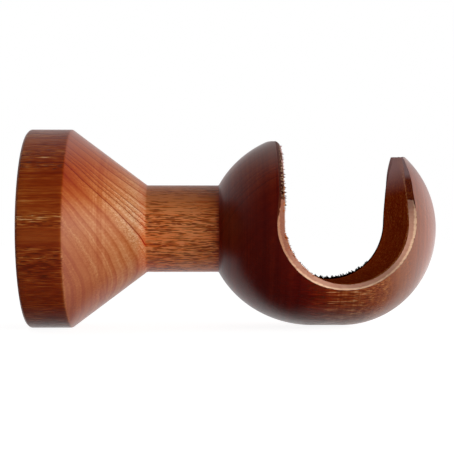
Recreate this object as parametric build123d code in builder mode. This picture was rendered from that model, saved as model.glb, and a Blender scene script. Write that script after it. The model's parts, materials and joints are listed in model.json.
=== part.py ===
from build123d import *
import os
from math import asin, degrees, sqrt

# Wooden wall bracket for a curtain pole, turned in one piece.
#
# The blank is turned along X: a short rim stands against the wall, a cone runs down
# to a neck, and the neck carries an egg-shaped ball. A U-shaped slot is cut across the
# ball along Y, open at the top, and the pole lies in it. The origin is the centre of the
# wall face, +X points out of the wall and +Z points up. Sizes are in millimetres.

# Where the pole lies
pole_from_wall = 77.6
slot_width = 30.0
slot_above_axis = 1.5
slot_bevel = 1.75

# Foot and neck, as turned
base_diameter = 50.0
rim_length = 10.7
rim_edge = 0.5
cone_length = 18.7
neck_diameter = 22.0

# Ball: two half ellipses joined by a straight band round its widest part
ball_diameter = 49.0
wall_side_reach = 26.5
outer_reach = 23.8
waist_length = 7.5
slot_past_waist = 2.7  # the slot is cut a little further out than the middle of the band

# The two horns beside the slot end in small flats, cut this far below their sharp tips
wall_horn_trim = 1.2
outer_horn_trim = 1.6

# Pilot hole for the screw that comes out of the wall
screw_hole_diameter = 6.0
screw_hole_depth = 35.0

base_radius = base_diameter / 2
neck_radius = neck_diameter / 2
ball_radius = ball_diameter / 2
slot_radius = slot_width / 2
cone_end = rim_length + cone_length

# The ball is placed round the pole, and the neck is as long as that leaves it
waist_start = pole_from_wall - slot_past_waist - waist_length / 2
waist_end = waist_start + waist_length
outer_end = waist_end + outer_reach
ball_start = waist_start - wall_side_reach * sqrt(1 - (neck_radius / ball_radius) ** 2)
wall_side_sweep = 90 - degrees(asin(neck_radius / ball_radius))


def ball_radius_at(x):
    """Radius of the ball at a distance x from the wall."""
    if x < waist_start:
        return ball_radius * sqrt(1 - ((waist_start - x) / wall_side_reach) ** 2)
    if x > waist_end:
        return ball_radius * sqrt(1 - ((x - waist_end) / outer_reach) ** 2)
    return ball_radius


# The flats stand at the height of the ball's outline at each slot wall, less the trim
wall_horn_top = ball_radius_at(pole_from_wall - slot_radius) - wall_horn_trim
outer_horn_top = ball_radius_at(pole_from_wall + slot_radius) - outer_horn_trim

with BuildPart() as bracket:
    with BuildSketch(Plane.XZ) as turned_outline:
        with BuildLine():
            foot_and_neck = Polyline(
                (outer_end, 0),
                (0, 0),
                (0, base_radius),
                (rim_length, base_radius),
                (cone_end, neck_radius),
                (ball_start, neck_radius),
            )
            wall_side = EllipticalCenterArc(
                (waist_start, 0),
                wall_side_reach,
                ball_radius,
                start_angle=90,
                arc_size=wall_side_sweep,
            )
            waist = Line((waist_start, ball_radius), (waist_end, ball_radius))
            outer_side = EllipticalCenterArc(
                (waist_end, 0), outer_reach, ball_radius, start_angle=0, arc_size=90
            )
        make_face()
    revolve(axis=Axis.X)
    wall_face = bracket.faces().sort_by(Axis.X)[0]
    chamfer(wall_face.edges(), length=rim_edge)

    # The slot's floor is round, and its walls rise straight past the top of the ball
    with BuildSketch(Plane.XZ) as slot_section:
        with Locations((pole_from_wall, slot_above_axis)):
            Circle(slot_radius)
            Rectangle(slot_width, ball_diameter, align=(Align.CENTER, Align.MIN))
    extrude(amount=ball_diameter, both=True, mode=Mode.SUBTRACT)
    slot_rim = bracket.edges(Select.LAST).filter_by(GeomType.LINE, reverse=True)
    chamfer(slot_rim, length=slot_bevel)

    # Everything above the flats is cut away, on each side of the slot at its own height
    with BuildSketch(Plane.XZ) as horn_tips:
        with Locations((pole_from_wall, wall_horn_top)):
            Rectangle(ball_diameter, ball_diameter, align=(Align.MAX, Align.MIN))
        with Locations((pole_from_wall, outer_horn_top)):
            Rectangle(ball_diameter, ball_diameter, align=(Align.MIN, Align.MIN))
    extrude(amount=ball_diameter, both=True, mode=Mode.SUBTRACT)

    # The blind pilot hole runs along the axis, from the wall face into the neck
    with Locations(Location((0, 0, 0), (0, -90, 0))):
        Hole(screw_hole_diameter / 2, depth=screw_hole_depth)

bracket.part.label = "bracket"

os.makedirs("parts", exist_ok=True)
export_step(bracket.part, "parts/bracket.step")

print("neck from", round(cone_end, 2), "to", round(ball_start, 2))
print("length from the wall", round(outer_end, 2))
print("horns up to", round(wall_horn_top, 2), "and", round(outer_horn_top, 2))
print("volume in cubic centimetres", round(bracket.part.volume / 1000, 2))
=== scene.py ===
# %% [markdown]
# # A turned wooden bracket for a curtain pole
#
# The real bracket is one piece of open-pored, reddish-brown wood. It is turned on a
# lathe, a U-shaped slot is cut across its ball for the pole, and the whole is stained
# and lacquered. This notebook makes it in the same order: turn, cut, ease the edges,
# finish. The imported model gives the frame, so everything lands where the bracket is.

# %% Load the frame
import json
from math import pi, radians, sqrt

import bpy
import numpy as np
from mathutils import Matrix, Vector

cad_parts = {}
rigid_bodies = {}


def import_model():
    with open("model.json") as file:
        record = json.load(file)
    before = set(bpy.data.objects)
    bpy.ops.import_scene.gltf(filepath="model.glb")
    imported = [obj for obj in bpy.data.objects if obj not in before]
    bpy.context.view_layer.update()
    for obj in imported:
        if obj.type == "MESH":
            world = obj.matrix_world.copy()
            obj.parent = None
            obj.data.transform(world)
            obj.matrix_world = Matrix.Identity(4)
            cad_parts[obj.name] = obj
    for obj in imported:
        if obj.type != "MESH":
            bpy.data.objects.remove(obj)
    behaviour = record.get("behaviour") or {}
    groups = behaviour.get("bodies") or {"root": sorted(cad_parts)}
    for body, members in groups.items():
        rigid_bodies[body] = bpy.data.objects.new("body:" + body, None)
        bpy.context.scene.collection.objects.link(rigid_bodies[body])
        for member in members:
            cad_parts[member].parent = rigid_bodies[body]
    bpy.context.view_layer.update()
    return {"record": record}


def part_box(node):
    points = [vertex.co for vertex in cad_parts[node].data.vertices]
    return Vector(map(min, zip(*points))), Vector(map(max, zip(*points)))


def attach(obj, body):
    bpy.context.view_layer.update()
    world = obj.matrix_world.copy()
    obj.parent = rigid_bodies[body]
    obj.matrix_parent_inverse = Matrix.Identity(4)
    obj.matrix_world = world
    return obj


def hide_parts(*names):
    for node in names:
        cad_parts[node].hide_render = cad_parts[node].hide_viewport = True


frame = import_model()
mounts = {m["name"]: m for m in frame["record"]["mounts"]}

# %% [markdown]
# ## Sizes
#
# Blender works in metres and a wood turner in millimetres, so sizes are written in
# millimetres and multiplied once. The length, the foot's radius, the pole's place and
# the screw hole are read from the frame. The rest is the outline that a turner would
# mark on the blank.

# %% Sizes
MM = 0.001
low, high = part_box("bracket")
bracket_length = high.x
foot_radius = high.z

rim_length = 10.7 * MM
rim_edge = 0.5 * MM
cone_end = 29.4 * MM
neck_radius = 11.0 * MM
ball_radius = 24.5 * MM
wall_side_reach = 26.5 * MM
outer_reach = 23.8 * MM
waist_length = 7.5 * MM
waist_end = bracket_length - outer_reach
waist_start = waist_end - waist_length
ball_start = waist_start - wall_side_reach * sqrt(1 - (neck_radius / ball_radius) ** 2)

pole = Vector(mounts["pole_seat"]["pos_m"])
slot_radius = mounts["pole_seat"]["dims"]["r_mm"] * MM
wall_horn_top = 21.99 * MM
outer_horn_top = 18.25 * MM
screw_radius = mounts["screw_hole"]["dims"]["r_mm"] * MM
screw_depth = mounts["screw_hole"]["dims"]["length_mm"] * MM
print("neck from", round(cone_end / MM, 1), "to", round(ball_start / MM, 1), "mm")

# %% [markdown]
# ## The outline
#
# A turned piece is fully described by its outline: the radius at each distance from
# the wall. The ball is two half ellipses joined by a short straight band. On the cone
# and the ball the points are about half a millimetre apart, because a glossy finish
# shows every facet. The rim and the neck, which are straight, need fewer.

# %% Outline of the blank
def ball_radius_at(x):
    """Radius of the ball at a distance from the wall, for one value or an array."""
    wall_side = np.clip((waist_start - x) / wall_side_reach, 0, 1)
    outer_side = np.clip((x - waist_end) / outer_reach, 0, 1)
    return ball_radius * np.sqrt(1 - np.maximum(wall_side, outer_side) ** 2)


def straight(start, end, step):
    """Points along a straight line, without its last one."""
    start, end = np.array(start), np.array(end)
    count = max(1, round(float(np.linalg.norm(end - start)) / step))
    return [tuple(start + (end - start) * i / count) for i in range(count)]


fine_step = 0.5 * MM
coarse_step = 1.5 * MM
wall_face_step = 6 * MM
wall_side_points = 66
outer_points = 78
neck_share = (waist_start - ball_start) / wall_side_reach
wall_side_sweep = np.linspace(np.arccos(neck_share), pi / 2, wall_side_points)
outer_sweep = np.linspace(0, pi / 2, outer_points)

outline = straight((0, 0), (0, foot_radius - rim_edge), wall_face_step)
outline += straight((0, foot_radius - rim_edge), (rim_edge, foot_radius), fine_step)
outline += straight((rim_edge, foot_radius), (rim_length, foot_radius), coarse_step)
outline += straight((rim_length, foot_radius), (cone_end, neck_radius), fine_step)
outline += straight((cone_end, neck_radius), (ball_start, neck_radius), coarse_step)
outline += [
    (waist_start - wall_side_reach * np.cos(t), ball_radius * np.sin(t))
    for t in wall_side_sweep
]
outline += straight((waist_start, ball_radius), (waist_end, ball_radius), fine_step)[1:]
outline += [
    (waist_end + outer_reach * np.sin(t), ball_radius * np.cos(t)) for t in outer_sweep
]
print(len(outline), "points on the outline")

# %% [markdown]
# ## Turning
#
# In Blender the lathe is the Spin operator. A tiny plane is merged to one vertex, the
# outline is drawn by extruding it from point to point, and the chain is spun round X.
# The first and last points lie on the axis, so merging by distance closes the ends.
# Each face remembers which of three finishes it wears: the turned surface, the bevel
# or the sawn slot. A cutter hands its own finish to the faces that it cuts.

# %% Three finishes
finishes = [
    bpy.data.materials.new(name) for name in ("turned_wood", "bare_bevel", "sawn_slot")
]
turned, bare, sawn = range(3)


def give_finish(piece, number):
    """Gives a piece all three finishes and puts one of them on every face."""
    piece.data.materials.clear()
    for finish in finishes:
        piece.data.materials.append(finish)
    for polygon in piece.data.polygons:
        polygon.material_index = number


print("finishes:", [finish.name for finish in finishes])

# %% Helpers for edit mode
def deselect_everything():
    """Goes back to object mode with nothing selected."""
    if bpy.context.object and bpy.context.object.mode != "OBJECT":
        bpy.ops.object.mode_set(mode="OBJECT")
    bpy.ops.object.select_all(action="DESELECT")


def select_only(*pieces):
    """Selects these pieces and nothing else; the first one becomes the active one."""
    deselect_everything()
    for piece in pieces:
        piece.select_set(True)
    bpy.context.view_layer.objects.active = pieces[0]


def select_where(piece, test, kind="VERT"):
    """Selects vertices that pass a test, or edges or faces of which every corner does."""
    bpy.ops.object.mode_set(mode="EDIT")
    bpy.ops.mesh.select_mode(type=kind)
    bpy.ops.mesh.select_all(action="DESELECT")
    bpy.ops.object.mode_set(mode="OBJECT")
    mesh = piece.data
    places = [v.co for v in mesh.vertices]
    parts = {"VERT": mesh.vertices, "EDGE": mesh.edges, "FACE": mesh.polygons}
    for part in parts[kind]:
        corners = [part.index] if kind == "VERT" else part.vertices
        part.select = all(test(places[i]) for i in corners)
    bpy.ops.object.mode_set(mode="EDIT")


def apply_place(piece):
    """Moves the object's own place into its mesh, so that the object sits at the origin."""
    if piece.mode != "OBJECT":
        bpy.ops.object.mode_set(mode="OBJECT")
    bpy.ops.object.transform_apply(location=True, rotation=True, scale=True)


# %% Spin the outline
turning_steps = 288
merge_distance = 0.002 * MM
deselect_everything()
bpy.ops.mesh.primitive_plane_add(size=MM, location=(0, 0, 0))
bracket = bpy.context.object
bracket.name = "turned_bracket"
bpy.ops.object.mode_set(mode="EDIT")
bpy.ops.mesh.select_all(action="SELECT")
bpy.ops.mesh.merge(type="CENTER")
for (x0, r0), (x1, r1) in zip(outline, outline[1:]):
    bpy.ops.mesh.extrude_vertices_move(
        TRANSFORM_OT_translate={"value": (x1 - x0, 0, r1 - r0)}
    )
bpy.ops.mesh.select_all(action="SELECT")
bpy.ops.mesh.spin(steps=turning_steps, angle=2 * pi, center=(0, 0, 0), axis=(1, 0, 0))
bpy.ops.mesh.select_all(action="SELECT")
bpy.ops.mesh.remove_doubles(threshold=merge_distance)
bpy.ops.mesh.normals_make_consistent(inside=False)
print("spun body:", len(outline), "points by", turning_steps, "steps")

# %% [markdown]
# The corners of a real turning are never razor sharp. The rings where two surfaces
# meet get a narrow bevel, which catches the light as a thin line.

# %% Ease the corners
corner_bevel = 0.22 * MM
close_by = 0.01 * MM
corner_rings = [
    (rim_edge, foot_radius),
    (rim_length, foot_radius),
    (cone_end, neck_radius),
    (ball_start, neck_radius),
]


def on_a_corner(place):
    """Whether a place lies on one of the corner rings."""
    radius = sqrt(place.y**2 + place.z**2)
    return any(
        abs(place.x - x) < close_by and abs(radius - r) < close_by for x, r in corner_rings
    )


select_where(bracket, on_a_corner, "EDGE")
bpy.ops.mesh.bevel(offset=corner_bevel, segments=2, affect="EDGES")
apply_place(bracket)
give_finish(bracket, turned)
print("turned body:", len(bracket.data.polygons), "faces")

# %% [markdown]
# ## The slot
#
# The slot is cut as in the workshop: a round floor, with walls that rise straight out of
# the ball. Its cutter is half a circle whose two ends are extruded upwards, and which
# is then drawn along the pole's direction, in steps as fine as the turned surface's. On
# the wall side the saw ran on a little, so that wall stays straight further down.

# %% Cutter for the slot
slot_step = 0.5 * MM
slot_run = 27 * MM
wall_rise = 30 * MM

deselect_everything()
bpy.ops.mesh.primitive_circle_add(
    vertices=192,
    radius=slot_radius,
    location=(pole.x, -slot_run, pole.z),
    rotation=(pi / 2, 0, 0),
)
slot_cutter = bpy.context.object
slot_cutter.name = "slot_cutter"
apply_place(slot_cutter)
select_where(slot_cutter, lambda place: place.z > pole.z + close_by)
bpy.ops.mesh.delete(type="VERT")
select_where(slot_cutter, lambda place: place.z > pole.z - close_by)
for step in range(round(wall_rise / slot_step)):
    bpy.ops.mesh.extrude_vertices_move(
        TRANSFORM_OT_translate={"value": (0, 0, slot_step)}
    )
bpy.ops.mesh.select_mode(type="EDGE")
bpy.ops.mesh.select_all(action="SELECT")
for step in range(round(2 * slot_run / slot_step)):
    bpy.ops.mesh.extrude_edges_move(TRANSFORM_OT_translate={"value": (0, slot_step, 0)})
print("cutter", round(2 * slot_run / MM), "mm long")

# %% Close the cutter and straighten its wall side
saw_overshoot = 4.2 * MM
for end in (-slot_run, slot_run):
    select_where(slot_cutter, lambda place: abs(place.y - end) < close_by)
    bpy.ops.mesh.edge_face_add()
lid = pole.z + wall_rise
select_where(slot_cutter, lambda place: place.z > lid - close_by)
bpy.ops.mesh.edge_face_add()
bpy.ops.mesh.select_all(action="SELECT")
bpy.ops.mesh.normals_make_consistent(inside=False)
wall_side = pole.x - slot_radius
select_where(
    slot_cutter, lambda place: place.x < pole.x and place.z > pole.z - saw_overshoot
)
bpy.ops.transform.resize(value=(0, 1, 1), center_override=(wall_side, 0, 0))
apply_place(slot_cutter)
give_finish(slot_cutter, sawn)
print("slot cutter:", len(slot_cutter.data.polygons), "faces")

# %% Cut with a Boolean modifier
def cut(piece, cutter, operation="DIFFERENCE"):
    """Takes the cutter's shape out of a piece, or adds it, and deletes the cutter."""
    select_only(piece)
    boolean = piece.modifiers.new("cut", "BOOLEAN")
    boolean.operation = operation
    boolean.solver = "MANIFOLD"
    boolean.object = cutter
    bpy.ops.object.modifier_apply(modifier=boolean.name)
    bpy.data.objects.remove(cutter)


cut(bracket, slot_cutter)
print("with its slot:", len(bracket.data.polygons), "faces")

# %% [markdown]
# ## The slot's bevelled edge
#
# The slot's edge runs down one horn, round the floor and up the other horn, over its
# tip and back along the far side: one closed loop. A bevel operator would trip over
# the thousands of small faces beside it, so the bevel is cut too. The cutter is a
# torus with a triangular section, laid along that loop so that one side of the
# triangle lies exactly where the bevel's flat should be.

# %% Where the slot's edge runs
def slot_edge(stations, samples=4000):
    """Evenly spaced points along the slot's edge, once round the closed loop."""
    left, right = pole.x - slot_radius, pole.x + slot_radius
    rise_left = np.linspace(float(ball_radius_at(left)), pole.z, samples, endpoint=False)
    rise_right = np.linspace(pole.z, float(ball_radius_at(right)), samples)
    turn = np.linspace(pi, 2 * pi, samples, endpoint=False)
    on_arc = pole.x + slot_radius * np.cos(turn)
    x = np.concatenate([np.full(samples, left), on_arc, np.full(samples, right)])
    z = np.concatenate([rise_left, pole.z + slot_radius * np.sin(turn), rise_right])
    y = -np.sqrt(np.clip(ball_radius_at(x) ** 2 - z**2, 0, None))
    near = np.stack([x, y, z], 1)
    far = near[::-1] * (1, -1, 1)
    loop = np.concatenate([near, far[1:-1], near[:1]])
    along = np.linalg.norm(np.diff(loop, axis=0), axis=1).cumsum()
    along = np.concatenate([[0], along])
    picks = np.linspace(0, along[-1], stations, endpoint=False)
    return np.stack([np.interp(picks, along, loop[:, i]) for i in range(3)], 1)


bevel_stations = 256
edge = slot_edge(bevel_stations)
print("bevel stations:", len(edge))

# %% Directions across the edge
def unit(vectors):
    """The same arrows, each one long."""
    return vectors / np.linalg.norm(vectors, axis=1, keepdims=True)


tangent = unit(np.roll(edge, -1, 0) - np.roll(edge, 1, 0))
towards_pole = (pole.x - edge[:, 0], 0 * edge[:, 0], np.clip(pole.z - edge[:, 2], 0, None))
slot_normal = unit(np.stack(towards_pole, 1))
nudge = 0.01 * MM
rise = ball_radius_at(edge[:, 0] + nudge) - ball_radius_at(edge[:, 0] - nudge)
slope = rise / (2 * nudge)
radius = np.linalg.norm(edge[:, 1:], axis=1)
ball_normal = unit(np.stack([-slope, edge[:, 1] / radius, edge[:, 2] / radius], 1))


def into_the_wood(normal, other_normal):
    """Direction that lies in one surface, across the edge, and leads away from the other."""
    direction = unit(np.cross(tangent, normal))
    sign = np.sign(np.sum(direction * other_normal, axis=1, keepdims=True))
    return -direction * sign


print("the ball's steepest slope at the edge is", round(float(np.abs(slope).max()), 2))

# %% [markdown]
# The bevel was eased by hand, so it isn't equally wide everywhere. Its two widths, down
# the slot's wall and out over the ball, are given at a few stops along the U: minus is
# the wall side's horn, nought the lowest point of the slot, plus the outer horn.

# %% How wide the bevel is
bevel_stops = [-44, -30, -25, -20, 0, 10, 15, 19, 25, 31, 35, 37.5, 41]
widths_on_ball = [1.3, 1.4, 2.0, 2.1, 1.6, 1.5, 2.0, 2.3, 2.6, 1.7, 1.5, 0.9, 0.25]
widths_on_wall = [1.5, 1.5, 1.6, 1.7, 1.8, 1.6, 1.1, 1.1, 1.8, 2.4, 2.2, 1.0, 0.25]
quarter_turn = slot_radius * pi / 2
above_pole = np.clip(edge[:, 2] - pole.z, 0, None)
from_lowest = np.arctan2(np.abs(edge[:, 0] - pole.x), np.clip(pole.z - edge[:, 2], 0, None))
run = np.where(above_pole > 0, quarter_turn + above_pole, slot_radius * from_lowest)
run = np.sign(edge[:, 0] - pole.x) * run / MM
ball_width = np.interp(run, bevel_stops, widths_on_ball) * MM
wall_width = np.interp(run, bevel_stops, widths_on_wall) * MM
on_wall = edge + wall_width[:, None] * into_the_wood(slot_normal, ball_normal)
on_ball = edge + ball_width[:, None] * into_the_wood(ball_normal, slot_normal)
print("the bevel runs from", round(run.min(), 1), "to", round(run.max(), 1), "mm along the U")

# %% [markdown]
# The triangle's long side is drawn out past both surfaces by a share of its own length,
# so that the cut is clean. Its third corner stands in the open, outside the wood.

# %% Cut the bevel
overshoot = 0.4
clear_of_wood = 0.8 * MM
corners = [
    on_wall + overshoot * (on_wall - on_ball),
    on_ball + overshoot * (on_ball - on_wall),
    edge + clear_of_wood * unit(slot_normal + ball_normal),
]

deselect_everything()
bpy.ops.mesh.primitive_torus_add(
    major_segments=bevel_stations, minor_segments=3, major_radius=ball_radius, minor_radius=MM
)
bevel_cutter = bpy.context.object
bevel_cutter.name = "bevel_cutter"
places = np.stack(corners, 1).reshape(-1)
bevel_cutter.data.vertices.foreach_set("co", places)
bpy.ops.object.mode_set(mode="EDIT")
bpy.ops.mesh.select_all(action="SELECT")
bpy.ops.mesh.normals_make_consistent(inside=False)
apply_place(bevel_cutter)
give_finish(bevel_cutter, bare)
cut(bracket, bevel_cutter)
print("with its bevel:", len(bracket.data.polygons), "faces")

# %% [markdown]
# ## Torn fibres
#
# The saw that opened the slot tore small slivers out along the grain, which runs along
# X. On the wall side's horn they leave a row of notches in the bevel. A notch is cut
# with an icosphere stretched along the grain; all of them are joined first, so that one
# Boolean does the work. Their places and sizes vary by chance, as torn wood does.

# %% Notches along the wall side's horn
chance = np.random.default_rng(7)
near_wall_side = (edge[:, 1] < 0) & (edge[:, 0] < pole.x)


def joined(pieces, name):
    """Joins several meshes into one object."""
    select_only(*pieces)
    bpy.ops.object.join()
    bpy.context.object.name = name
    apply_place(bpy.context.object)
    return bpy.context.object


notches = []
horn_stations = np.where(near_wall_side & (edge[:, 2] > pole.z))[0]
for height in np.arange(7.0, 21.0, 0.62) * MM:
    height += chance.uniform(-0.15, 0.15) * MM
    station = horn_stations[np.argmin(np.abs(edge[horn_stations, 2] - height))]
    share = chance.uniform(0.35, 0.95)
    spot = on_ball[station] + share * (on_wall[station] - on_ball[station])
    spot[2] = height
    bpy.ops.mesh.primitive_ico_sphere_add(
        subdivisions=2,
        radius=MM,
        location=spot,
        rotation=(0, radians(chance.uniform(5, 30)), radians(chance.uniform(-50, -25))),
        scale=(chance.uniform(0.35, 0.8), chance.uniform(0.4, 0.6), chance.uniform(0.13, 0.22)),
    )
    notches.append(bpy.context.object)
notch_cutter = joined(notches, "notch_cutter")
give_finish(notch_cutter, bare)
cut(bracket, notch_cutter)
print(len(notches), "notches:", len(bracket.data.polygons), "faces")

# %% [markdown]
# The ends of torn fibres stand out into the slot: small teeth along the near edge of
# the wall side, and longer burr at the far end of the floor. Each is a thin cone that
# leans by chance. They are added with a Boolean instead of cut, so that they are one
# with the wood.

# %% Teeth along the near edge
def spike(root, direction, tall, wide):
    """A six-sided cone that stands on a point of the surface, with its foot in the wood."""
    foot = 0.35 * MM
    direction = Vector(direction).normalized()
    bpy.ops.mesh.primitive_cone_add(
        vertices=6,
        radius1=wide * MM,
        radius2=0.03 * MM,
        depth=tall * MM + foot,
        location=Vector(root) + direction * (tall * MM - foot) / 2,
        rotation=direction.to_track_quat("Z", "Y").to_euler(),
    )
    return bpy.context.object


spikes = []
tooth_stops = [-44, -27, -26, -22, -19, -6]
tooth_heights = [0.5, 0.6, 0.3, 0.15, 0.5, 0.35]
has_teeth = near_wall_side & (run < tooth_stops[-1]) & (edge[:, 2] < wall_horn_top)
for station in np.where(has_teeth)[0]:
    to_next = on_wall[(station + 1) % bevel_stations] - on_wall[station]
    for step in (0.2, 0.7):
        root = on_wall[station] + step * to_next
        tall = np.interp(run[station], tooth_stops, tooth_heights) * chance.uniform(0.35, 1.2)
        lean = chance.uniform(-0.5, 0.5, 3)
        root = root + (0, chance.uniform(0, 0.5) * MM, 0)
        spikes.append(spike(root, slot_normal[station] + lean, tall, chance.uniform(0.2, 0.38)))
print(len(spikes), "teeth")

# %% Burr at the far end of the floor
burr_stops = [-36, -20, 18, 30, 48]
burr_heights = [0.4, 1.0, 1.1, 0.9, 0.5]
burr_apart = 1.5
inside_far_edge = 2.3 * MM
for turn in np.radians(np.arange(burr_stops[0], burr_stops[-1], burr_apart)):
    turn += radians(chance.uniform(-0.6, 0.6))
    tall = np.interp(np.degrees(turn), burr_stops, burr_heights)
    tall *= chance.uniform(0.4, 1.1)
    x = pole.x + slot_radius * np.sin(turn)
    z = pole.z - slot_radius * np.cos(turn)
    y = np.sqrt(ball_radius_at(x) ** 2 - z**2) - inside_far_edge
    lean = chance.uniform(-0.45, 0.45, 3)
    direction = Vector((-np.sin(turn), 0, np.cos(turn))) + Vector(lean)
    root = (x, y + chance.uniform(-0.3, 0.1) * MM, z)
    spikes.append(spike(root, direction, tall, chance.uniform(0.45, 0.7)))
burr = joined(spikes, "burr")
give_finish(burr, sawn)
cut(bracket, burr, "UNION")
print(len(spikes), "teeth and burr:", len(bracket.data.polygons), "faces")

# %% [markdown]
# ## Horn tips and screw hole
#
# Each horn is cut off nearly level, a little lower in front. The bisect operator slices
# what is selected and throws away the part above the plane, so only one horn's faces
# are selected at a time. The screw from the wall goes into a blind hole on the axis.

# %% Level the horns
for top, start, end, lean in (
    (wall_horn_top, ball_start, pole.x, 0.045),
    (outer_horn_top, pole.x, bracket_length, 0.07),
):
    select_where(
        bracket, lambda place: start < place.x < end and place.z > pole.z, "FACE"
    )
    bpy.ops.mesh.bisect(
        plane_co=(0, 0, top), plane_no=(0, -lean, 1), use_fill=True, clear_outer=True
    )
apply_place(bracket)
print("with level horns:", len(bracket.data.polygons), "faces")

# %% Drill the screw hole
deselect_everything()
bpy.ops.mesh.primitive_cylinder_add(
    vertices=64,
    radius=screw_radius,
    depth=2 * screw_depth,
    rotation=(0, pi / 2, 0),
)
screw_drill = bpy.context.object
screw_drill.name = "screw_drill"
apply_place(screw_drill)
give_finish(screw_drill, sawn)
cut(bracket, screw_drill)
print("finished shape:", len(bracket.data.polygons), "faces")

# %% [markdown]
# Faces that meet at a small angle are shaded as one smooth surface, so the turned parts
# look round while the cut edges stay crisp. Then the piece rides on the frame's root body,
# and the model's own bracket is hidden.

# %% Smooth shading, and the piece's place in the frame
select_only(bracket)
bpy.ops.object.shade_smooth_by_angle(angle=radians(24))

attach(bracket, "root")
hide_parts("bracket")
print(bracket.name, "replaces the model's bracket")

# %% [markdown]
# ## Stained wood
#
# The wood is a solid pattern: every point's colour is worked out from its place in the
# blank, so rings, fibres and pores run through the bracket as they do through real
# timber, and come out right on the rim, the cone and the ball alike. The grain runs
# along X. Wood that takes more stain turns darker and redder at once, so the whole
# colour is one stain colour raised to the power of a density: half a measure of stain
# is pale orange, one is brown, two is a deep red.

# %% Helpers for nodes
def feed(tree, socket, value):
    """Gives a socket a number, a vector or a colour, or links another node's socket to it."""
    if isinstance(value, bpy.types.NodeSocket):
        tree.links.new(value, socket)
    else:
        socket.default_value = value


def add_node(tree, kind, inputs, **settings):
    """A new node with its inputs fed; settings are its own options, such as operation."""
    node = tree.nodes.new(kind)
    for name, value in settings.items():
        setattr(node, name, value)
    for key, value in inputs.items():
        feed(tree, node.inputs[key], value)
    return node


def calc(tree, operation, first, second=0.0):
    """One step of arithmetic on two sockets or numbers."""
    inputs = {0: first, 1: second}
    return add_node(tree, "ShaderNodeMath", inputs, operation=operation).outputs[0]


def total(tree, *terms):
    """The sum of several sockets or numbers."""
    result = terms[0]
    for term in terms[1:]:
        result = calc(tree, "ADD", result, term)
    return result


def product(tree, *factors):
    """The product of several sockets or numbers."""
    result = factors[0]
    for factor in factors[1:]:
        result = calc(tree, "MULTIPLY", result, factor)
    return result


def remap(tree, value, low, high, to_low=0.0, to_high=1.0, smooth=True):
    """Moves a value from one range to another, and stops at its ends."""
    kind = "SMOOTHSTEP" if smooth else "LINEAR"
    inputs = {"Value": value, "From Min": low, "From Max": high}
    inputs |= {"To Min": to_low, "To Max": to_high}
    return add_node(tree, "ShaderNodeMapRange", inputs, interpolation_type=kind).outputs[0]


def follow(tree, value, points):
    """Reads a line that is drawn through (value, result) points."""
    places, results = zip(*points)
    bottom, top = min(results), max(results)
    within = remap(tree, value, places[0], places[-1], smooth=False)
    node = add_node(tree, "ShaderNodeFloatCurve", {"Value": within})
    line = node.mapping.curves[0].points
    spans = places[-1] - places[0], top - bottom
    spots = [((p - places[0]) / spans[0], (r - bottom) / spans[1]) for p, r in points]
    line[0].location = spots[0]
    line[1].location = spots[-1]
    for spot in spots[1:-1]:
        line.new(*spot)
    for point in line:
        point.handle_type = "VECTOR"
    node.mapping.update()
    return remap(tree, node.outputs[0], 0, 1, bottom, top, smooth=False)


# %% Helpers for patterns and colours
def position(tree, size=(1, 1, 1), shift=(0, 0, 0)):
    """The point's place in millimetres, divided by the size that a pattern should have."""
    inputs = {
        "Vector": add_node(tree, "ShaderNodeTexCoord", {}).outputs["Object"],
        "Scale": [1 / (MM * s) for s in size],
        "Location": [v / s for v, s in zip(shift, size)],
    }
    return add_node(tree, "ShaderNodeMapping", inputs).outputs[0]


def axis(tree, letter):
    """One coordinate of the point, in millimetres."""
    return add_node(tree, "ShaderNodeSeparateXYZ", {0: position(tree)}).outputs[letter]


def noise(tree, size, detail=2.0, shift=(0, 0, 0)):
    """Cloudy noise from nought to one, whose patches have the given size."""
    inputs = {"Vector": position(tree, size, shift), "Scale": 1.0, "Detail": detail}
    return add_node(tree, "ShaderNodeTexNoise", inputs).outputs[0]


def swing(tree, value, amount):
    """Turns a noise around one half into plus or minus an amount."""
    return calc(tree, "MULTIPLY", calc(tree, "SUBTRACT", value, 0.5), 2 * amount)


def blend(tree, share, first, second):
    """Mixes two colours; the share is the second one's."""
    inputs = {"Factor": share, "A": first, "B": second}
    return add_node(tree, "ShaderNodeMix", inputs, data_type="RGBA").outputs["Result"]


def relief(tree, height, depth):
    """A bump from a height; depth is what a height of one comes to, in metres."""
    inputs = {"Height": height, "Distance": depth}
    return add_node(tree, "ShaderNodeBump", inputs).outputs[0]


# %% [markdown]
# The rings are tubes round the pith, the middle of the tree, which lay behind the
# bracket and above it. Each ring starts with a thin dark line of open pores, and the
# pores crowd in some rings and are missing from others. Both are given by their
# distance from the pith. Beyond ring_change the rings are blurred bands, not lines.

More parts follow.
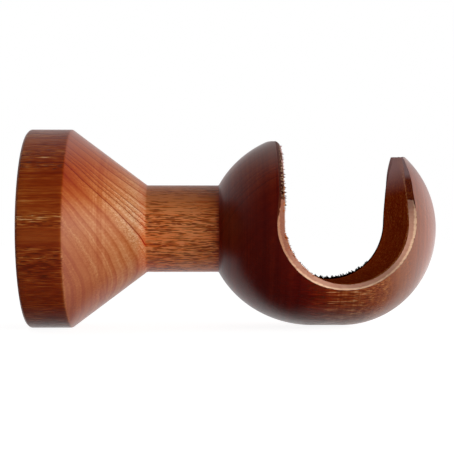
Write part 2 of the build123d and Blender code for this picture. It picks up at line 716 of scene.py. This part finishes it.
# %% Rings and pores
pith = (25.0, 26.0)
ring_starts = [9.0, 12.1, 14.6, 17.3, 19.2, 22.0, 24.1, 26.9, 29.0, 31.8, 34.5, 37.3, 40.4]
ring_starts += [42.4, 43.5, 44.3, 46.0, 48.4, 50.6, 52.3, 54.0, 56.3, 57.7, 59.6, 62.0]
ring_change = (46.5, 49.0)
sharp_line = [(0, 1.25), (0.05, 1.05), (0.11, 0), (0.3, -0.12), (0.6, 0), (1, 0.1)]
soft_line = [(0, 1), (0.2, 0.6), (0.5, 0), (0.8, 0.25), (1, 0.9)]
ring_strengths = [(0, 0.8), (36, 1), (40, 1.7), (46.5, 1.6), (48, 0.45), (62, 0.3)]
pore_bands = [
    (9, 0.5), (20, 0.3), (27, 0.7), (34.5, 0.7), (36.5, 0.8), (37.2, 0.3), (38.6, 0.3),
    (39.2, 0.55), (42, 0.6), (42.6, 1), (45, 1), (45.5, 0.3), (46, 1), (47.5, 0.9), (48.2, 0.35),
    (52, 0.25), (52.6, 0.5), (54.3, 0.2), (55, 0.95), (56.1, 0.95), (56.5, 0.1), (57.8, 0.1),
    (58.4, 1), (60.4, 1), (61, 0.6), (62, 0.4),
]
pore_cell = (2.2, 0.33, 0.33)


def ring_layer(tree):
    """Distance from the pith in millimetres, a little wavy as in a real tree."""
    inputs = {0: position(tree, (float("inf"), 1, 1)), 1: (0, *pith)}
    from_pith = add_node(tree, "ShaderNodeVectorMath", inputs, operation="DISTANCE")
    wobble = swing(tree, noise(tree, (38, 9, 9), 1.5), 0.6)
    return calc(tree, "ADD", from_pith.outputs["Value"], wobble)


def ring_lines(tree, layer):
    """Each ring's dark line, with a strength of its own, and thin lines between them."""
    number = follow(tree, layer, [(start, i) for i, start in enumerate(ring_starts)])
    inputs = {"W": calc(tree, "FLOOR", number)}
    own = add_node(tree, "ShaderNodeTexWhiteNoise", inputs, noise_dimensions="1D")
    strength = remap(tree, own.outputs["Value"], 0, 1, 0.45, 1.0)
    part = calc(tree, "FRACT", number)
    softness = remap(tree, layer, *ring_change)
    sharp = product(tree, follow(tree, part, sharp_line), remap(tree, softness, 0, 1, 1, 0))
    soft = product(tree, follow(tree, part, soft_line), softness)
    ring = product(tree, total(tree, sharp, soft), strength, follow(tree, layer, ring_strengths))
    inputs = {"W": layer, "Scale": 2.2}
    thin_lines = add_node(tree, "ShaderNodeTexNoise", inputs, noise_dimensions="1D")
    return total(tree, ring, swing(tree, thin_lines.outputs[0], 0.2))


def pores(tree, density, shift=(0, 0, 0)):
    """Long narrow pores, one in each Voronoi cell, wider where the density is higher."""
    inputs = {"Vector": position(tree, pore_cell, shift), "Scale": 1.0}
    cells = add_node(tree, "ShaderNodeTexVoronoi", inputs)
    width = calc(tree, "MULTIPLY", density, 0.36)
    return remap(tree, cells.outputs["Distance"], width, calc(tree, "SUBTRACT", width, 0.14))


print(len(ring_starts), "rings round the pith")

# %% [markdown]
# All three finishes are the same timber. Besides rings and pores it has pale flecks,
# and two sizes of streaks along the grain: broad ones and fine fibres. Each finish asks
# for the patterns by name and uses what it needs. The stains are listed below, and
# each colour is what one measure of that stain gives.
# The pale flecks are partly the wood's own and partly painted glints at the pores' edges.

# %% Timber and stain
broad_streak = (16, 0.5, 0.5)
fine_fibre = (3.2, 0.24, 0.24)

stain_red = (0.37, 0.045, 0.007, 1)
stain_brown = (0.37, 0.08, 0.01, 1)
stain_orange = (0.66, 0.034, 0.0014, 1)
stain_dark = (0.36, 0.17, 0.1, 1)
stain_sawn = (0.4, 0.1, 0.02, 1)


def timber(tree):
    """The blank's patterns: ring lines, pores, pale spots and painted glints, streaks and
    fibres.
    """
    layer = ring_layer(tree)
    density = follow(tree, layer, pore_bands)
    return {
        "rings": ring_lines(tree, layer),
        "density": density,
        "pores": pores(tree, density),
        # pale flecks, partly painted glints
        "flecks": pores(tree, density, (0.4, 0.1, 0.22)),
        "streaks": swing(tree, noise(tree, broad_streak, 3.0), 1.0),
        "fibres": swing(tree, noise(tree, fine_fibre, 1.2, (5, 3, 1)), 1.0),
    }


def stained(tree, density, colour=stain_red):
    """The stain's colour at a density."""
    return add_node(tree, "ShaderNodeGamma", {"Color": colour, "Gamma": density}).outputs[0]


def open_finish(material):
    """A finish's node tree, its shader and the timber's patterns in it."""
    material.use_nodes = True
    tree = material.node_tree
    return tree, tree.nodes["Principled BSDF"], timber(tree)


print("fibres are", fine_fibre[0], "mm long and", fine_fibre[1], "mm wide")

# %% [markdown]
# The rim, the cone, the neck and the ball were sanded and stained differently, and the
# stain pooled in some places and was rubbed off in others. Each list below is one
# property: pairs of a distance from the wall in millimetres and the value there. The
# rim ends at 10.7, the cone at 29.4 and the neck at 47, and the slot is cut from 63 to 93.
# Two lists are painted shade and light, not stain: tops darker or lighter, undersides darker.

# %% How the finish changes along the bracket
stain_along = [
    (0, 0.97), (10.3, 1.07), (10.6, 0.85), (10.9, 0.67), (16, 0.56), (21, 0.47), (24, 0.4),
    (29, 0.34), (29.8, 0.36), (40, 0.3), (46.6, 0.45), (47.3, 0.9), (47.6, 1.9),
    (58, 2.0), (66, 1.95), (71, 1.45), (76, 0.92), (86, 1.1), (94, 1.55), (102.5, 1.6),
]
# Painted shade and light on top: darker on the rim, the cone and the outer end, lighter on the
# ball's wall side.
top_light_and_shade_along = [
    (0, 0.1), (10.6, 0.25), (10.9, 0.55), (29, 0.35), (30, 0.1), (47, 0.1), (48, -0.6),
    (60, -0.5), (68, 0), (86, 0), (91, 0.35), (102.5, 0.35),
]
# Painted shade underneath: darker under the rim, the cone and the neck.
under_shade_along = [
    (0, 0.35), (10.3, 0.35), (10.5, 0), (10.9, 0), (11.1, 0.25), (29, 0.15), (30, 0.15),
    (47, 0.15), (48, 0), (102.5, 0),
]
brown_along = [
    (0, 0.9), (10.4, 0.9), (10.9, 0.5), (29, 0.5), (30, 0), (47, 0), (48, 0.9), (60, 0.7),
    (68, 0), (80, 0.4), (88, 1), (102.5, 1),
]
orange_along = [(0, 0), (27, 0.1), (29.6, 1), (46.5, 1), (47.5, 0), (102.5, 0)]
open_grain_along = [
    (0, 0.85), (10.6, 0.85), (10.9, 0.15), (22, 0.18), (29.2, 0.35), (29.8, 1), (47.2, 1),
    (47.8, 0.2), (66, 0.25), (70, 1.1), (79, 1.1), (88, 0.5), (102.5, 0.2),
]
streaks_along = [
    (0, 0.4), (10.6, 0.4), (10.9, 0.15), (29, 0.2), (29.8, 0.25), (47, 0.25), (48, 0.15),
    (64, 0.2), (70, 1.1), (80, 1.0), (88, 0.4), (102.5, 0.2),
]
rings_along = [
    (0, 0.6), (10.9, 0.8), (29, 0.8), (29.8, 0.08), (47, 0.08), (48, 0.3), (68, 0.4),
    (74, 1), (86, 1), (94, 0.3), (102.5, 0.3),
]
lathe_along = [(0, 0), (16, 0), (17.5, 0.5), (20, 0.5), (21, 0), (47, 0), (48, 1), (102.5, 1)]
dashes_along = [
    (0, 0.25), (10.6, 0.25), (10.9, 0), (29.4, 0.05), (29.8, 0.78), (47.2, 0.78), (47.6, 0),
    (66, 0), (72, 0.6), (84, 0.6), (92, 0), (102.5, 0),
]
# Painted sheen: how strong the pale haze is on the cone, under the rim and ball, and on the
# outer end.
cone_sheen_along = [(0, 0), (10.6, 0), (10.9, 0.2), (17, 0.12), (24, 0.04), (29, 0), (102.5, 0)]
outer_sheen_along = [(0, 0), (78, 0), (86, 0.12), (91, 0.27), (97, 0.2), (102.5, 0.1)]
under_sheen_along = [
    (0, 0.3), (10.6, 0.3), (10.9, 0), (58, 0), (68, 0.5), (86, 0.5), (92, 0), (102.5, 0),
]


def along_bracket(tree, points):
    """Reads one of these lines at the point's distance from the wall."""
    return follow(tree, axis(tree, "X"), points)


print("the stain changes at", len(stain_along), "places along the bracket")

# %% [markdown]
# The turned surface is built up like the real one. First comes the stain, as a density
# and a hue. Over the colour lies a pale painted sheen, near the cone's top and bottom,
# over and under the ball and the rim, and on the outer end. Last come dark marks: short
# dashes of open grain, the neck's shaded top and filled pores.

# %% Stain on the turned surface
def turned_density(tree, wood):
    """Stain on the turned surface, with painted shade and light on its tops and undersides."""
    up = axis(tree, "Z")
    fibre_depth = calc(tree, "SUBTRACT", 1.5, along_bracket(tree, orange_along))
    texture = total(
        tree,
        product(tree, wood["pores"], 0.3),
        product(tree, wood["flecks"], -0.12),
        product(tree, wood["fibres"], wood["density"], fibre_depth),
    )
    lathe_marks = total(
        tree,
        swing(tree, noise(tree, (2.2, 200, 200), 1.0), 0.35),
        swing(tree, noise(tree, (0.35, 30, 30), 1.0), 0.3),
    )
    return total(
        tree,
        along_bracket(tree, stain_along),
        # painted shade and light on the tops, and painted shade underneath
        product(tree, remap(tree, up, 3, 16), along_bracket(tree, top_light_and_shade_along)),
        product(tree, remap(tree, up, 2, -12), along_bracket(tree, under_shade_along)),
        product(tree, lathe_marks, along_bracket(tree, lathe_along)),
        product(tree, texture, along_bracket(tree, open_grain_along)),
        product(tree, wood["rings"], along_bracket(tree, rings_along)),
        product(tree, wood["streaks"], along_bracket(tree, streaks_along)),
        swing(tree, noise(tree, (30, 12, 12), 1.0, (7, 2, 4)), 0.2),
    )


def turned_hue(tree):
    """Red in the middle of the ball, browner elsewhere and on top, orange on the neck."""
    brown_top = product(tree, remap(tree, axis(tree, "Z"), 8, 18), 0.8)
    brown = calc(tree, "MAXIMUM", along_bracket(tree, brown_along), brown_top)
    hue = blend(tree, brown, stain_red, stain_brown)
    return blend(tree, along_bracket(tree, orange_along), hue, stain_orange)


# %% Painted sheen and dark grain
pink_sheen = (0.45, 0.33, 0.29, 1)
tan_sheen = (0.4, 0.36, 0.27, 1)
dash_brown = (0.17, 0.032, 0.004, 1)
neck_shade_brown = (0.3, 0.065, 0.01, 1)
pore_black = (0.07, 0.014, 0.003, 1)
cone_middle = 11.0


def with_painted_sheen(tree, colour):
    """Painted sheen on the cone, over and under the ball and the rim, and on the outer end."""
    up = axis(tree, "Z")
    away = calc(tree, "ABSOLUTE", calc(tree, "SUBTRACT", up, cone_middle))
    cone_sheen = product(tree, remap(tree, away, 3, 11), along_bracket(tree, cone_sheen_along))
    sheen_over_ball = product(tree, remap(tree, up, 12, 22), remap(tree, axis(tree, "X"), 50, 58), 0.4)
    under = product(tree, remap(tree, up, -18, -24), along_bracket(tree, under_sheen_along))
    outer_sheen = product(tree, along_bracket(tree, outer_sheen_along), remap(tree, up, 4, 16, 1, 0.4))
    # painted sheen: the pale pink and tan are blended over the stained colour
    colour = blend(tree, total(tree, cone_sheen, sheen_over_ball, under), colour, pink_sheen)
    return blend(tree, outer_sheen, colour, tan_sheen)


def dark_grain(tree, colour, wood, short_fibres, open_grain):
    """Dashes of open grain, the shaded top of the neck, and filled pores."""
    dashes = total(tree, wood["fibres"], short_fibres, product(tree, wood["density"], 0.25))
    dashes = product(tree, remap(tree, dashes, 0.18, 0.46), along_bracket(tree, dashes_along))
    colour = blend(tree, dashes, colour, dash_brown)
    neck_top = remap(tree, axis(tree, "Z"), 1, 9)
    shade = product(tree, neck_top, along_bracket(tree, orange_along), 0.6)
    colour = blend(tree, shade, colour, neck_shade_brown)
    return blend(tree, product(tree, wood["pores"], open_grain, 0.6), colour, pore_black)


# %% Paint the turned surface
def paint_turned_wood(material):
    """Stained wood under a clear lacquer, with relief where the grain is open."""
    tree, shader, wood = open_finish(material)
    open_grain = along_bracket(tree, open_grain_along)
    short_fibres = swing(tree, noise(tree, (2.0, 0.22, 0.22), 1.5, (9, 4, 6)), 0.35)
    least = remap(tree, open_grain, 0.4, 1, 0.26, 0.36)
    density = calc(tree, "MAXIMUM", turned_density(tree, wood), least)
    colour = with_painted_sheen(tree, stained(tree, density, turned_hue(tree)))
    colour = dark_grain(tree, colour, wood, short_fibres, open_grain)
    feed(tree, shader.inputs["Base Color"], colour)
    height = calc(tree, "SUBTRACT", wood["fibres"], total(tree, wood["pores"], short_fibres))
    normal = relief(tree, product(tree, height, open_grain), 0.05 * MM)
    feed(tree, shader.inputs["Normal"], normal)
    feed(tree, shader.inputs["Coat Normal"], normal)
    shader.inputs["Roughness"].default_value = 0.6
    shader.inputs["Specular IOR Level"].default_value = 0.0
    shader.inputs["Coat Weight"].default_value = 1.0
    shader.inputs["Coat Roughness"].default_value = 0.28
    shader.inputs["Coat IOR"].default_value = 1.33
    print(material.name, "has", len(tree.nodes), "nodes")


paint_turned_wood(finishes[turned])

# %% [markdown]
# Two distances tell the bevel's and the slot's finishes where they are: how deep a
# point lies below the turned ball, and how far it lies outside the slot. Both are in
# millimetres and use the same formula as the outline above.

# %% Distances from the ball and the slot
def length(tree, first, second):
    """The length of an arrow with these two sides."""
    arrow = add_node(tree, "ShaderNodeCombineXYZ", {0: first, 1: second})
    inputs = {0: arrow.outputs[0]}
    return add_node(tree, "ShaderNodeVectorMath", inputs, operation="LENGTH").outputs["Value"]


def below_ball(tree):
    """How deep a point lies below the turned ball."""
    x = axis(tree, "X")
    wall_part = remap(tree, x, waist_start / MM, ball_start / MM, 0, neck_share, smooth=False)
    outer_part = remap(tree, x, waist_end / MM, bracket_length / MM, smooth=False)
    share = calc(tree, "MAXIMUM", wall_part, outer_part)
    flat = calc(tree, "SQRT", calc(tree, "SUBTRACT", 1.0, product(tree, share, share)))
    radius = length(tree, axis(tree, "Y"), axis(tree, "Z"))
    return calc(tree, "SUBTRACT", product(tree, flat, ball_radius / MM), radius)


def outside_slot(tree):
    """How far a point lies outside the slot's floor and walls."""
    sideways = calc(tree, "SUBTRACT", axis(tree, "X"), pole.x / MM)
    downwards = calc(tree, "SUBTRACT", pole.z / MM, axis(tree, "Z"))
    downwards = calc(tree, "MAXIMUM", downwards, 0.0)
    return calc(tree, "SUBTRACT", length(tree, sideways, downwards), slot_radius / MM)


print("the slot's finishes start from radius", round(slot_radius / MM, 2), "mm")

# %% [markdown]
# The bevel was eased after staining, so below the pole's middle it is bare and pale,
# with a painted highlight along its outer edge and painted shade towards the wall side.
# Higher up it is stained like the ball, with beige slivers where the saw tore it. Between
# the two, the bare part tapers off towards the slot's wall. On the far side, which is in
# shadow, painted shade makes it dark all round.

# %% Colours of the bevel
# Painted light: each pair runs from the shaded to the lit colour, and the outer edge's lit
# colour is a painted highlight.
bare_inner_shade_to_light = ((0.3, 0.11, 0.065, 1), (0.64, 0.33, 0.23, 1))
bare_outer_shade_to_highlight = ((0.45, 0.2, 0.11, 1), (1.0, 0.66, 0.44, 1))
bevel_light_along = [(60, 0), (63, 0.1), (65, 0.5), (72, 0.9), (79, 1), (95, 0.8)]
torn_beige = (0.62, 0.4, 0.24, 1)
horn_tip_sheen = (0.6, 0.43, 0.45, 1)


def bare_wood(tree, wood, across, rough):
    """Pale bare wood with a painted highlight along its outer edge and painted shade towards the
    wall side; across is nought there and one inside.
    """
    light_share = along_bracket(tree, bevel_light_along)
    inner = blend(tree, light_share, *bare_inner_shade_to_light)
    outer = blend(tree, light_share, *bare_outer_shade_to_highlight)
    # painted highlight along the outer edge
    edge_highlight_share = remap(tree, calc(tree, "ADD", across, product(tree, rough, 0.2)), 0.4, 0.22)
    dust = product(tree, calc(tree, "ADD", wood["streaks"], rough), 0.5)
    dust = calc(tree, "MAXIMUM", dust, 0.0)
    return blend(tree, dust, blend(tree, edge_highlight_share, inner, outer), stained(tree, 0.9))


def horn_bevel(tree, wood, across, hue, on_outer):
    """The horns' stained bevel, torn on the wall side, with a painted sheen at the outer horn's
    tip.
    """
    up = axis(tree, "Z")
    along = axis(tree, "X")
    slivers = product(
        tree,
        remap(tree, noise(tree, (1.0, 0.28, 0.28), 1.0, (1, 7, 3)), 0.56, 0.66),
        remap(tree, along, 66, 63),
        remap(tree, across, 0.35, 0.7),
        remap(tree, up, 21, 15, 0.35, 1.0),
    )
    fibres = product(tree, wood["fibres"], 1.2)
    density = total(tree, remap(tree, along, 66, 88, 3.0, 1.45), fibres)
    colour = blend(tree, slivers, stained(tree, density, hue), torn_beige)
    # Painted sheen on the outer horn's tip.
    sheen_share = product(tree, on_outer, remap(tree, up, 11.5, 13.5), 0.7)
    return blend(tree, sheen_share, colour, horn_tip_sheen)


def where_stained(tree, across, rough, on_outer):
    """One where the bevel kept its stain: high on the horns, and beside the bare taper."""
    up = axis(tree, "Z")
    wall_taper = remap(tree, up, 0.5, 6.7, 0.0, 0.5, smooth=False)
    outer_taper = remap(tree, up, 4.5, 6.7, 0.0, 0.3, smooth=False)
    change = calc(tree, "SUBTRACT", outer_taper, wall_taper)
    taper = calc(tree, "ADD", wall_taper, product(tree, on_outer, change))
    limit = total(tree, taper, product(tree, rough, 0.15), product(tree, across, -1.0))
    top = remap(tree, calc(tree, "ADD", up, product(tree, rough, 0.4)), 6.5, 6.9)
    return calc(tree, "MAXIMUM", remap(tree, limit, -0.08, 0.08), top)


# %% Paint the bevel
def paint_bevel(material):
    """Bare, pale wood that turns into stained and torn wood on the horns."""
    tree, shader, wood = open_finish(material)
    depth = calc(tree, "MAXIMUM", below_ball(tree), 0.0)
    outside = calc(tree, "MAXIMUM", outside_slot(tree), 0.0)
    across = calc(tree, "DIVIDE", depth, total(tree, depth, outside, 0.01))
    rough = swing(tree, noise(tree, (1.6, 0.8, 0.8), 2.5, (3, 1, 2)), 1.0)
    on_outer = calc(tree, "GREATER_THAN", axis(tree, "X"), pole.x / MM)
    hue = blend(tree, remap(tree, axis(tree, "X"), 66, 88), stain_dark, stain_brown)
    horns = horn_bevel(tree, wood, across, hue, on_outer)
    high = remap(tree, axis(tree, "Z"), 6, 8)
    strip = blend(tree, high, stained(tree, 2.5, hue), horns)
    pale = bare_wood(tree, wood, across, rough)
    near = blend(tree, where_stained(tree, across, rough, on_outer), pale, strip)
    # Painted shade: the far side of the bevel is painted dark all round.
    far = remap(tree, axis(tree, "Y"), -2, 2)
    feed(tree, shader.inputs["Base Color"], blend(tree, far, near, stained(tree, 2.6)))
    height = total(tree, wood["fibres"], rough)
    feed(tree, shader.inputs["Normal"], relief(tree, height, 0.06 * MM))
    shader.inputs["Roughness"].default_value = 0.5
    shader.inputs["Specular IOR Level"].default_value = 0.06
    print(material.name, "has", len(tree.nodes), "nodes")


paint_bevel(finishes[bare])

# %% [markdown]
# Inside the slot the saw left fine marks across the walls, and grit lies on them. Painted
# shade makes the far edge and the torn teeth nearly black, and the colour is lighter in a
# strip along the near edge. High on the walls, a pale painted sheen lies over the colour.

# %% The sawn slot
wall_top_sheen = (0.58, 0.4, 0.39, 1)


def sawn_density(tree, wood, saw_marks, depth, far_edge_shade):
    """How much stain the slot and its teeth hold, with painted shade at the far edge and on the
    teeth.
    """
    near_side = remap(tree, axis(tree, "Y"), -2, -6)
    near_edge = product(tree, near_side, remap(tree, depth, 4.4, 3.0))
    grit = swing(tree, noise(tree, (0.4, 0.4, 0.4), 1.0, (2, 5, 8)), 1.0)
    teeth = remap(tree, outside_slot(tree), -0.12, -0.3)
    return total(
        tree,
        1.55,
        # painted shade: nearly black at the far edge
        product(tree, far_edge_shade, 2.5),
        product(tree, near_edge, -0.6),
        # painted shade: the torn teeth nearly black
        product(tree, teeth, 3.0),
        product(tree, saw_marks, 0.8),
        product(tree, grit, 1.3),
        product(tree, wood["pores"], 0.3),
    )


def paint_sawn_slot(material):
    """Dull sawn wood, with painted shade nearly black at the far edge and a painted sheen high
    on the walls.
    """
    tree, shader, wood = open_finish(material)
    up = axis(tree, "Z")
    saw_marks = swing(tree, noise(tree, (0.4, 0.3, 5.0), 2.0), 1.0)
    ragged = swing(tree, noise(tree, (1.2, 1.2, 1.2)), 0.8)
    depth = calc(tree, "ADD", below_ball(tree), ragged)
    # Painted shade: nearly black along the far edge, most of all low down.
    far_edge_shade = product(
        tree,
        remap(tree, axis(tree, "Y"), 2, 6),
        remap(tree, depth, 3.4, 2.4),
        remap(tree, up, 16, 9, 0.4, 1.0),
    )
    density = sawn_density(tree, wood, saw_marks, depth, far_edge_shade)
    # Painted sheen: the walls turn pale high up, away from the far edge.
    sheen_share = product(tree, remap(tree, up, 8, 17), remap(tree, far_edge_shade, 1, 0), 0.75)
    colour = blend(tree, sheen_share, stained(tree, density, stain_sawn), wall_top_sheen)
    feed(tree, shader.inputs["Base Color"], colour)
    feed(tree, shader.inputs["Normal"], relief(tree, saw_marks, 0.08 * MM))
    shader.inputs["Roughness"].default_value = 0.8
    shader.inputs["Specular IOR Level"].default_value = 0.0
    print(material.name, "has", len(tree.nodes), "nodes")


paint_sawn_slot(finishes[sawn])

# %% [markdown]
# ## Floor and studio
#
# The bracket stands on a white floor in a white surrounding. The camera sees both as
# plain white, while the light that falls on the wood and is mirrored in it stays at a
# level where a colour looks as it was chosen. In reflections both are bright behind the
# bracket and beyond its outer end, and darker on the camera's side, as in a studio:
# lacquered wood then shows a pale sheen along its edges and its own colour between them.

# %% Floor
floor_size = 6


def paint_floor(material):
    """Matt white that still takes a shadow, and glows for the camera and in reflections."""
    material.use_nodes = True
    tree = material.node_tree
    tree.nodes.clear()
    path = add_node(tree, "ShaderNodeLightPath", {})
    seen = path.outputs["Is Camera Ray"]
    glossy = path.outputs["Is Glossy Ray"]
    mirrored = calc(tree, "MAXIMUM", glossy, path.outputs["Is Transmission Ray"])
    behind = remap(tree, axis(tree, "Y"), -11, -3, 0.05, 0.95)
    outer_side = remap(tree, axis(tree, "X"), 98, 135, 0, 0.6)
    glow_mirrored = product(tree, mirrored, calc(tree, "ADD", behind, outer_side))
    white = total(tree, 0.8, product(tree, seen, -0.45), product(tree, mirrored, -0.8))
    paint = add_node(tree, "ShaderNodeBsdfDiffuse", {"Color": white})
    strength = total(tree, product(tree, seen, 0.9), glow_mirrored)
    glow = add_node(tree, "ShaderNodeEmission", {"Strength": strength})
    both = add_node(tree, "ShaderNodeAddShader", {0: paint.outputs[0], 1: glow.outputs[0]})
    add_node(tree, "ShaderNodeOutputMaterial", {"Surface": both.outputs[0]})


deselect_everything()
bpy.ops.mesh.primitive_plane_add(size=floor_size, location=(0, 0, low.z))
floor = bpy.context.object
floor.name = "floor"
floor_paint = bpy.data.materials.new("floor_paint")
paint_floor(floor_paint)
floor.data.materials.append(floor_paint)
print("floor at", round(low.z / MM, 1), "mm")

# %% Surroundings
brightest_way = (-0.25, 0.93, 0.15)


def light_surroundings(world):
    """White for the camera; for the wood, bright behind it and dim on the camera's side."""
    world.use_nodes = True
    tree = world.node_tree
    tree.nodes.clear()
    direction = add_node(tree, "ShaderNodeTexCoord", {}).outputs["Generated"]
    inputs = {0: direction, 1: brightest_way}
    facing = add_node(tree, "ShaderNodeVectorMath", inputs, operation="DOT_PRODUCT")
    turn = add_node(tree, "ShaderNodeSeparateXYZ", {0: direction})
    path = add_node(tree, "ShaderNodeLightPath", {})
    outer_side = product(
        tree,
        path.outputs["Is Glossy Ray"],
        remap(tree, turn.outputs["X"], 0.35, 0.9),
        remap(tree, turn.outputs["Y"], -0.55, 0.2),
        1.2,
    )
    strength = remap(tree, facing.outputs["Value"], -0.1, 0.55, 0.15, 1.1)
    strength = product(tree, strength, remap(tree, turn.outputs["Z"], 0.1, 0.9, 1.0, 0.6))
    strength = total(tree, strength, outer_side)
    room = add_node(tree, "ShaderNodeBackground", {"Strength": strength})
    backdrop = add_node(tree, "ShaderNodeBackground", {"Color": (1, 1, 1, 1)})
    inputs = {0: path.outputs["Is Camera Ray"], 1: room.outputs[0], 2: backdrop.outputs[0]}
    choice = add_node(tree, "ShaderNodeMixShader", inputs)
    add_node(tree, "ShaderNodeOutputWorld", {"Surface": choice.outputs[0]})


world = bpy.data.worlds.new("studio")
light_surroundings(world)
bpy.context.scene.world = world
print("surroundings brightest towards", brightest_way)

# %% [markdown]
# One square lamp stands off the outer end, a little in front. It lights the cone and the
# ball's outer half from the side, as in the photograph. Its own reflection is switched
# off, because the surroundings already draw the sheen.

# %% Key lamp
middle = Vector((bracket_length / 2, 0, 0))
lamp_place = Vector((0.59, -0.27, -0.02))
lamp_data = bpy.data.lights.new("key_lamp", "AREA")
lamp_data.shape = "SQUARE"
lamp_data.size = 0.6
lamp_data.energy = 8.2
key_lamp = bpy.data.objects.new("key_lamp", lamp_data)
key_lamp.location = lamp_place
key_lamp.rotation_euler = (lamp_place - middle).to_track_quat("Z", "Y").to_euler()
key_lamp.visible_glossy = False
bpy.context.scene.collection.objects.link(key_lamp)
print("lamp", round((lamp_place - middle).length, 2), "m from the bracket's middle")

# %% [markdown]
# The camera stands in front of the neck, a little lower than the bracket's axis, and
# looks slightly up and outwards. The bracket's outline and the camera were fitted
# together to the photograph, and these are the fitted numbers, rounded.

# %% Camera
look_up = 0.0109
look_outwards = 0.0265
camera_data = bpy.data.cameras.new("camera")
camera_data.sensor_width = 36
camera_data.lens = 84.6
camera_data.clip_start = 0.01
camera = bpy.data.objects.new("camera", camera_data)
camera.location = (0.04242, -0.2715, -0.00254)
camera.rotation_euler = (pi / 2 + look_up, 0, -look_outwards)
bpy.context.scene.collection.objects.link(camera)
bpy.context.scene.camera = camera
bpy.context.scene.view_settings.view_transform = "Standard"
print("camera", round((camera.location - middle).length, 3), "m from the bracket's middle")
